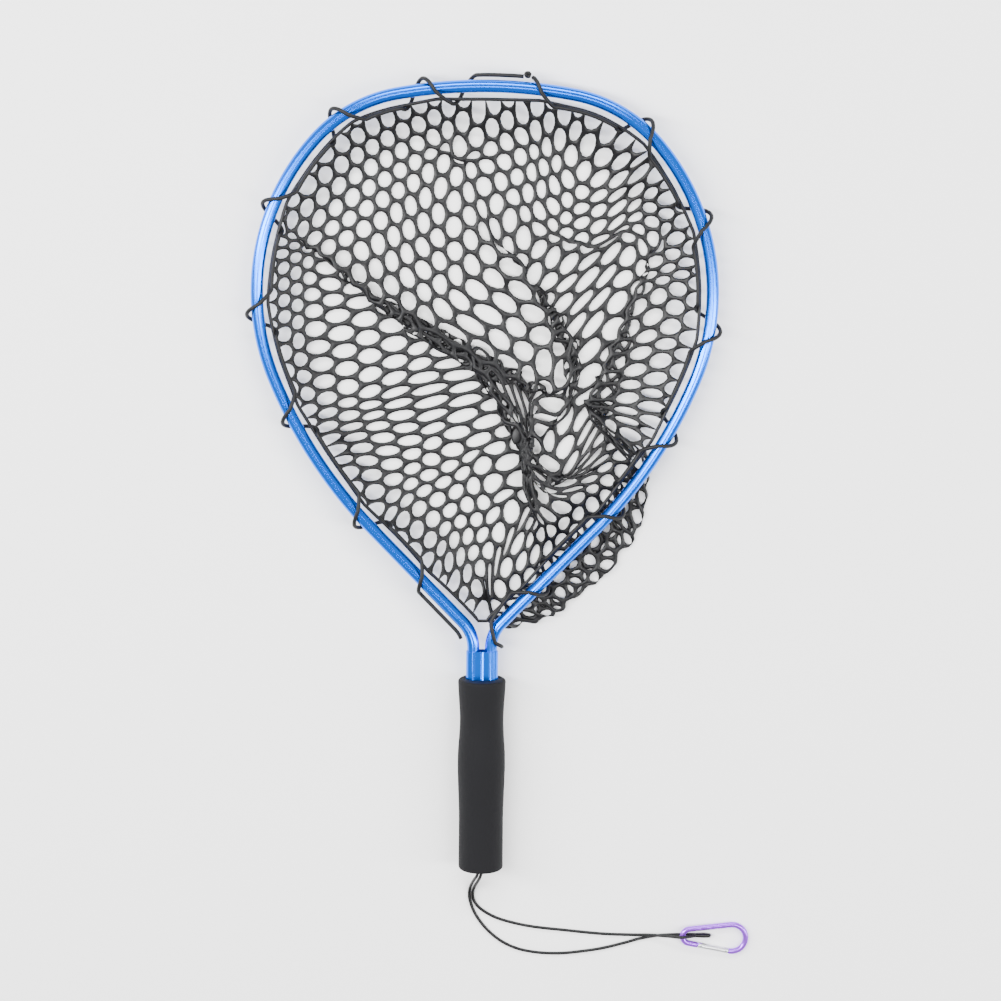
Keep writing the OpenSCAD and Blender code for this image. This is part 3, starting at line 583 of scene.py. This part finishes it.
tip_s = 0
while beside_rim(tip_s, -BEAD_IN)[0] > 4 or tip_s < 100:
    tip_s += 1
bead_s = np.linspace(-tip_s, tip_s, 500)
held_s = np.array(sorted(half_rim * np.array(RIGHT_WRAPS + LEFT_WRAPS + [0.07, -0.882])))


def bead_in(s):
    """How far in from the tube the bead runs: it bows in a little between two wraps."""
    away = np.abs(held_s - s).min()
    return BEAD_IN - 0.7 + 1.5 * math.sin(min(away / 30, 1) * math.pi / 2)


bead_flat = np.array([beside_rim(s, -bead_in(s)) for s in bead_s])
bead = tube("net_edge_bead", np.column_stack([bead_flat, np.full(500, BEAD_Z)]) * MM, (0, 0, 1),
            1.2 * MM, net_black, closed=True)
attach(bead, "net")
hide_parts("net_bag")

knot_place = np.array([*beside_rim(0.051 * half_rim, lace_out + 1.4), AXIS_Z])
knot_line = []
for a in np.linspace(0, 2 * math.pi * 2, 90):
    knot_line.append(knot_place + np.array([
        0.9 * math.cos(a) * (1 + 0.25 * math.cos(1.5 * a)) + 0.5 * math.sin(a / 2),
        1.2 * math.sin(a), 1.15 * math.sin(1.5 * a)]))
knot = tube("lace_tied_knot", np.array(knot_line) * MM, (0.3, 0.2, 1), 1.25 * MM, lace_black)
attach(knot, "net")
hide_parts("lace_knot")


# --- Rubber mesh bag --------------------------------------------------------------------
# A moulded hexagonal mesh, deeper than the hoop is high, so it lies collapsed in the hoop:
# three or five layers thick along its folds, and spilling out under the hoop at the lower right.
PITCH = 12.4
STRAND_W, STRAND_T = 1.9, 1.7
WEB = 1.25
LOW_Z = 1.15
# Each fold: its line in millimetres with the width of the folded band at each point, how many
# layers lie in the band, how far off the sheet still shifts, and which way the layers climb
FOLDS = [
    ([(-44, 219, 0), (-21, 230, 4), (-4, 228, 5), (23, 240, 0)], 3, 60, 1),
    ([(20, 218, 0), (64, 206, 4), (105, 182, 5), (129, 163, 0)], 3, 90, -1),
    ([(-10, 46, 0), (14, 38, 9), (36, 28, 12), (60, 18, 10), (80, 8, 0)], 5, 90, -1),
    ([(22, 66, 0), (28, 44, 9), (26, 20, 11), (32, -4, 8), (38, -20, 0)], 5, 80, 1),
    ([(-48, 66, 0), (-36, 51, 6), (-20, 31, 13), (-5, 13, 16), (14, -4, 15), (36, -19, 9),
      (54, -28, 0)], 5, 200, 1),
    ([(138, 182, 0), (128, 150, 8), (119, 110, 15), (110, 66, 21), (92, 22, 25), (72, -4, 26),
      (55, -36, 22), (36, -68, 13), (20, -96, 0)], 3, 160, 1),
    ([(2, 212, 0), (22, 190, 3), (40, 175, 6), (52, 157, 9), (60, 128, 11), (64, 92, 12),
      (61, 55, 13), (48, 34, 8), (32, 14, 0)], 5, 300, -1),
    ([(-136, 170, 0), (-110, 150, 4), (-92, 135, 7), (-68, 118, 13), (-37, 97, 18), (-10, 82, 20),
      (19, 69, 19), (42, 60, 12), (60, 54, 0)], 5, 400, 1),
]
# Where the mesh is only squeezed: a line, how far either side of it, and what is left
GATHERS = [
    ([(-152, 15), (-149, 90), (-136, 150)], 27, 0.66, 60),
    ([(-112, 4), (-78, -42), (-40, -82)], 40, 0.8, 60),
    ([(60, 232), (112, 196), (142, 150)], 24, 0.78, 50),
]
# Where it is drawn in from all round: a place, how far round it, and what is left
PINCHES = [((22, 40), 44, 0.62, 130), ((88, 20), 34, 0.7, 80)]
# Half the hoop's share, and how far the mesh spills out past the bead there
SPILL = [(0.655, 0), (0.68, 13), (0.715, 25), (0.75, 33), (0.785, 38), (0.827, 40.5),
         (0.868, 38.5), (0.901, 35.5), (0.932, 30), (0.959, 22), (0.985, 9), (0.995, 0)]
SPILL_S = np.array(SPILL)[:, 0] * half_rim
SPILL_OUT = np.array(SPILL)[:, 1]

fine_s = np.linspace(-tip_s, tip_s, 900)
edge_line = np.array([beside_rim(s, -bead_in(s)) for s in fine_s])
edge_out = np.array([(beside_rim(s, 1) - beside_rim(s, 0)) for s in fine_s])


def to_edge(p):
    """For flat points: distance outside the bead line (minus inside), and the nearest index."""
    d = np.linalg.norm(p[:, None, :] - edge_line[None, :, :], axis=2)
    k = d.argmin(1)
    side = ((p - edge_line[k]) * edge_out[k]).sum(1)
    return np.sign(side) * d.min(1), k


# Flat lattice: every corner of the hexagons, and the strands between neighbours
hex_a = PITCH / math.sqrt(3)
corner_ids, corners, strand_set = {}, [], set()
for i in range(-30, 31):
    for j in range(-34, 35):
        cx, cy = 1.5 * hex_a * i, PITCH * (j + 0.5 * (i % 2)) + 60
        ids = []
        for k in range(6):
            x = cx + hex_a * math.cos(math.pi / 3 * k)
            y = cy + hex_a * math.sin(math.pi / 3 * k)
            key = (round(x * 10), round(y * 10))
            near_keys = ((key[0] + u, key[1] + v) for u in (0, -1, 1) for v in (0, -1, 1))
            key = next((q for q in near_keys if q in corner_ids), key)
            if key not in corner_ids:
                corner_ids[key] = len(corners)
                corners.append((x, y))
            ids.append(corner_ids[key])
        for k in range(6):
            a, b = ids[k], ids[(k + 1) % 6]
            strand_set.add((min(a, b), max(a, b)))
flat = np.array(corners)
strand_ends = np.array(sorted(strand_set))
rng = np.random.default_rng(7)
flat = flat + rng.normal(0, 0.28, flat.shape)


def from_line(p, nodes):
    """For flat points: signed distance from a line, the way across it, and its width there."""
    best, width = np.full(len(p), 1e9), np.zeros(len(p))
    side, normal = np.zeros(len(p)), np.zeros_like(p)
    for start, end in zip(nodes, nodes[1:]):
        a, run = start[:2], (end - start)[:2]
        t = np.clip(((p - a) @ run) / (run @ run), 0, 1)
        away = p - a - t[:, None] * run
        d = np.linalg.norm(away, axis=1)
        sign = np.where(away @ np.array([-run[1], run[0]]) >= 0, 1.0, -1.0)
        use = d < best
        best, side = np.where(use, d, best), np.where(use, sign, side)
        width = np.where(use, start[-1] + t * (end - start)[-1], width)
        across = away / np.maximum(d, 1e-6)[:, None] * sign[:, None]
        normal = np.where(use[:, None], across, normal)
    return best * side, normal, width


def fold_map(p):
    """Carries flat points of the sheet to where they lie, with a height for the layers."""
    spot, lift = p.copy(), np.zeros(len(p))
    for centre, wide, left_over, reach in PINCHES:
        away = spot - centre
        d = np.maximum(np.linalg.norm(away, axis=1), 1e-6)
        fade = np.clip(1 - (d - wide) / reach, 0, 1) ** 1.3
        drawn = np.where(d > wide, d - wide * (1 - left_over) * fade, d * left_over)
        spot = centre + away * (drawn / d)[:, None]
    for nodes, wide, left_over, reach in GATHERS:
        d, normal, _ = from_line(spot, np.array(nodes, float))
        fade = np.clip(1 - (np.abs(d) - wide) / reach, 0, 1) ** 1.3
        drawn = np.where(np.abs(d) > wide, d - np.sign(d) * wide * (1 - left_over) * fade,
                         d * left_over)
        spot = spot + normal * (drawn - d)[:, None]
    for nodes, layers, reach, over in FOLDS:
        # Across the band the sheet runs to and fro, one pass for each layer
        d, normal, w = from_line(spot, np.array(nodes, float))
        w = np.maximum(w, 1e-3)
        passes = np.clip(np.floor(d / w + layers / 2), 0, layers - 1)
        centre = (passes - (layers - 1) / 2) * w
        drawn = np.where(passes % 2 == 0, d - centre, centre - d)
        beyond = np.abs(d) - layers / 2 * w
        fade = np.clip(1 - beyond / reach, 0, 1)
        drawn = np.where(beyond > 0, d - np.sign(d) * (layers - 1) / 2 * w * fade, drawn)
        spot = spot + normal * (drawn - d)[:, None]
        level = np.clip(over * d / w + (layers - 1) / 2, 0, layers - 1)
        level = np.where(beyond > 0, level * np.clip(1 - beyond / 14, 0, 1), level)
        lift += level * np.clip(w / 6, 0, 1) * 1.5
    return spot - p, np.minimum(lift, 11)


shift, lift = fold_map(flat)
out, near = to_edge(flat)
spill_at = np.interp(fine_s[near], SPILL_S, SPILL_OUT, left=0, right=0)
shift *= np.where(spill_at > 1, np.clip(-out / 55, 0, 1), 1)[:, None]
spot = flat + shift
spread = to_edge(spot)[0]
keep = np.where(spill_at > 1, (out < 2 * spill_at) & ((out > 0) | (spread < 8)), spread < -1.5)

place = np.column_stack([spot, LOW_Z + lift])
rise = np.clip(1 + spread / 34, 0, 1)
wall = (BEAD_Z - LOW_Z - 1) * rise ** 1.7
spilled = spill_at > 1
place[:, 2] = np.where(spilled & (out <= 0), place[:, 2], np.maximum(place[:, 2], LOW_Z + wall))
under = (out > 0) & keep & spilled
turn = np.minimum(out, 2 * spill_at - out)
returned = (out > spill_at) & under
place[under, :2] = edge_line[near[under]] + edge_out[near[under]] * turn[under, None]
climb = np.clip(1 - turn / 12, 0, 1) ** 1.5
place[:, 2] = np.where(under, np.where(returned, LOW_Z + 2.6 + (BEAD_Z - LOW_Z - 3.6) * climb,
                                       LOW_Z), place[:, 2])

# Strands that cross the bead line end on the bead
nodes_in = {int(i): n for n, i in enumerate(np.flatnonzero(keep))}
position = [place[i] for i in nodes_in]
material_at = [flat[i] for i in nodes_in]
links = []
pinned = []
for a, b in strand_ends:
    a, b = int(a), int(b)
    if a in nodes_in and b in nodes_in:
        links.append((nodes_in[a], nodes_in[b]))
    elif a in nodes_in or b in nodes_in:
        inner, outer = (a, b) if a in nodes_in else (b, a)
        inner_xy = place[inner][:2]
        k = int(np.linalg.norm(edge_line - (inner_xy + 0.5 * (flat[outer] - flat[inner])), axis=1
                               ).argmin())
        links.append((nodes_in[inner], len(position)))
        pinned.append(len(position))
        position.append(np.array([*edge_line[k], BEAD_Z]))
        material_at.append(flat[outer])
X = np.array(position)
M2 = np.array(material_at)
links = np.array(links)
pinned = np.array(pinned)
free = np.ones(len(X), bool)
free[pinned] = False
rest = np.linalg.norm(M2[links[:, 0]] - M2[links[:, 1]], axis=1)
rest = np.where(np.isin(links, pinned).any(1), np.minimum(rest, hex_a), rest)
home = X.copy()
X[:, 2] += rng.uniform(0, 0.8, len(X)) * free
RELAX_STEPS, SHORTEST, LONGEST, RELAX, HOME_PULL = 40, 0.25, 1.4, 0.5, 0.15
for _ in range(RELAX_STEPS):
    gap3 = X[links[:, 1]] - X[links[:, 0]]
    size = np.maximum(np.linalg.norm(gap3, axis=1), 1e-6)
    want = np.clip(size, rest * SHORTEST, rest * LONGEST)
    pull = gap3 * ((size - want) / size * 0.5)[:, None]
    move = np.zeros_like(X)
    np.add.at(move, links[:, 0], pull)
    np.add.at(move, links[:, 1], -pull)
    X += np.where(free[:, None], RELAX * move, 0)
    X[:, :2] += np.where(free[:, None], HOME_PULL * (home[:, :2] - X[:, :2]), 0)
    X[:, 2] = np.where(free, np.clip(X[:, 2], LOW_Z, BEAD_Z + 1), X[:, 2])

# Each strand becomes a flat strip that flares into a web at each corner
neighbours = [[] for _ in X]
for a, b in links:
    neighbours[a].append(int(b))
    neighbours[b].append(int(a))
for i, ring in enumerate(neighbours):
    ring.sort(key=lambda j: math.atan2(*(M2[j] - M2[i])[::-1]))
normals = np.zeros_like(X)
for i, ring in enumerate(neighbours):
    for k in range(len(ring)):
        a, b = X[ring[k]] - X[i], X[ring[(k + 1) % len(ring)]] - X[i]
        if len(ring) > 2 or (len(ring) == 2 and k == 0):
            normals[i] += np.cross(a, b) * (1 if len(ring) > 2 else math.copysign(
                1, np.cross(M2[ring[0]] - M2[i], M2[ring[1]] - M2[i])))
for i, ring in enumerate(neighbours):
    if np.linalg.norm(normals[i]) < 1e-9:
        beside = normals[ring[0]] if len(ring) else np.zeros(3)
        normals[i] = beside if np.linalg.norm(beside) > 0 else (0, 0, 1)
normals /= np.linalg.norm(normals, axis=1)[:, None]
blend = normals.copy()
for i, ring in enumerate(neighbours):
    for j in ring:
        blend[i] += 0.35 * normals[j] * math.copysign(1, normals[j] @ normals[i] + 1e-9)
normals = blend / np.linalg.norm(blend, axis=1)[:, None]

points, faces = [], []
corner_of = {}
half = STRAND_W / 2
for i, ring in enumerate(neighbours):
    n = len(ring)
    units = [(X[j] - X[i]) / max(np.linalg.norm(X[j] - X[i]), 1e-6) for j in ring]
    for k in range(n):
        a, b = ring[k], ring[(k + 1) % n]
        left_a = np.cross(normals[i], units[k])
        right_b = -np.cross(normals[i], units[(k + 1) % n])
        if n == 1:
            corner_of[i, a, "L"] = len(points)
            points += [X[i] + half * left_a + s * normals[i] * STRAND_T / 2 for s in (1, -1)]
            corner_of[i, a, "R"] = len(points)
            points += [X[i] - half * left_a + s * normals[i] * STRAND_T / 2 for s in (1, -1)]
            continue
        both = left_a + right_b
        size = max(np.linalg.norm(both), 0.35)
        reach = min(2 * half * WEB / size, 3.4)
        shift = both / max(np.linalg.norm(both), 1e-6) * reach
        corner_of[i, a, "L"] = corner_of[i, b, "R"] = len(points)
        points += [X[i] + shift + s * normals[i] * STRAND_T / 2 for s in (1, -1)]
    if n > 2:
        loop = [corner_of[i, j, "L"] for j in ring]
        faces += [tuple(loop), tuple(c + 1 for c in loop)[::-1]]
    elif n == 1:
        left, right_c = corner_of[i, ring[0], "L"], corner_of[i, ring[0], "R"]
        faces.append((left, left + 1, right_c + 1, right_c))
for a, b in links:
    a, b = int(a), int(b)
    al, ar, bl, br = (corner_of[a, b, "L"], corner_of[a, b, "R"],
                      corner_of[b, a, "L"], corner_of[b, a, "R"])
    faces += [(ar, bl, br, al), (ar + 1, al + 1, br + 1, bl + 1),
              (al, br, br + 1, al + 1), (ar, ar + 1, bl + 1, bl)]
net = mesh_piece("rubber_mesh", np.array(points) * MM, faces, net_black)
bpy.context.view_layer.objects.active = net

# Nodes that round the strips into moulded rubber
tree = bpy.data.node_groups.new("round_strands", "GeometryNodeTree")
tree.interface.new_socket("Geometry", in_out="INPUT", socket_type="NodeSocketGeometry")
level_socket = tree.interface.new_socket("Rounding", in_out="INPUT", socket_type="NodeSocketInt")
material_socket = tree.interface.new_socket("Rubber", in_out="INPUT",
                                            socket_type="NodeSocketMaterial")
tree.interface.new_socket("Geometry", in_out="OUTPUT", socket_type="NodeSocketGeometry")
start = add_node(tree, "NodeGroupInput")
rounded = add_node(tree, "GeometryNodeSubdivisionSurface", [
    ("Mesh", start.outputs["Geometry"]), ("Level", start.outputs["Rounding"])])
shaded = add_node(tree, "GeometryNodeSetShadeSmooth", [("Geometry", rounded.outputs["Mesh"])])
real = add_node(tree, "GeometryNodeRealizeInstances", [("Geometry", shaded.outputs["Geometry"])])
coated = add_node(tree, "GeometryNodeSetMaterial", [
    ("Geometry", real.outputs["Geometry"]), ("Material", start.outputs["Rubber"])])
add_node(tree, "NodeGroupOutput", [("Geometry", coated.outputs["Geometry"])])
modifier = net.modifiers.new("round_strands", "NODES")
modifier.node_group = tree
modifier[level_socket.identifier] = 1
modifier[material_socket.identifier] = net_black
state = bpy.context.evaluated_depsgraph_get()
built = bpy.data.meshes.new_from_object(net.evaluated_get(state), depsgraph=state)
net.modifiers.clear()
net.data = built
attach(net, "net")
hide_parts("net_bag")

# Moulding mark: one small solid lens of rubber in the middle of the folds
LENS_AT, LENS_W, LENS_L, LENS_T, LENS_Z = (23.5, 30.1), 8.5, 15, 1.6, 7.4
LENS_SIDES, LENS_PINCH, LENS_SKEW, LENS_TURN = 28, 0.25, 0.95, 0.3
LENS_RINGS = [(0.0, 0.55), (0.35, 0.92), (0.65, 1.0), (1.0, 0.8)]  # shares of thickness and width
lens_points = []
for level, share in LENS_RINGS:
    for a in np.arange(LENS_SIDES) * 2 * math.pi / LENS_SIDES:
        pinch = 1 - LENS_PINCH * abs(math.sin(a)) ** 3
        x, y = LENS_W / 2 * share * math.cos(a) * pinch, LENS_L / 2 * share * math.sin(a)
        tilt = 0.09 * x - 0.05 * y
        lens_points.append(((LENS_AT[0] + LENS_SKEW * x + LENS_TURN * y) * MM,
                            (LENS_AT[1] - LENS_TURN * x + LENS_SKEW * y) * MM,
                            (LENS_Z + LENS_T * level + tilt) * MM))
lens_faces = []
for i in range(len(LENS_RINGS) - 1):
    for j in range(LENS_SIDES):
        k = (j + 1) % LENS_SIDES
        lens_faces.append((i * LENS_SIDES + j, i * LENS_SIDES + k,
                           (i + 1) * LENS_SIDES + k, (i + 1) * LENS_SIDES + j))
lens_faces.append(tuple(range(LENS_SIDES))[::-1])
lens_faces.append(tuple((len(LENS_RINGS) - 1) * LENS_SIDES + j for j in range(LENS_SIDES)))
mark = mesh_piece("rubber_moulding_mark", lens_points, lens_faces, net_black)
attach(mark, "net")
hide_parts("net_bag")
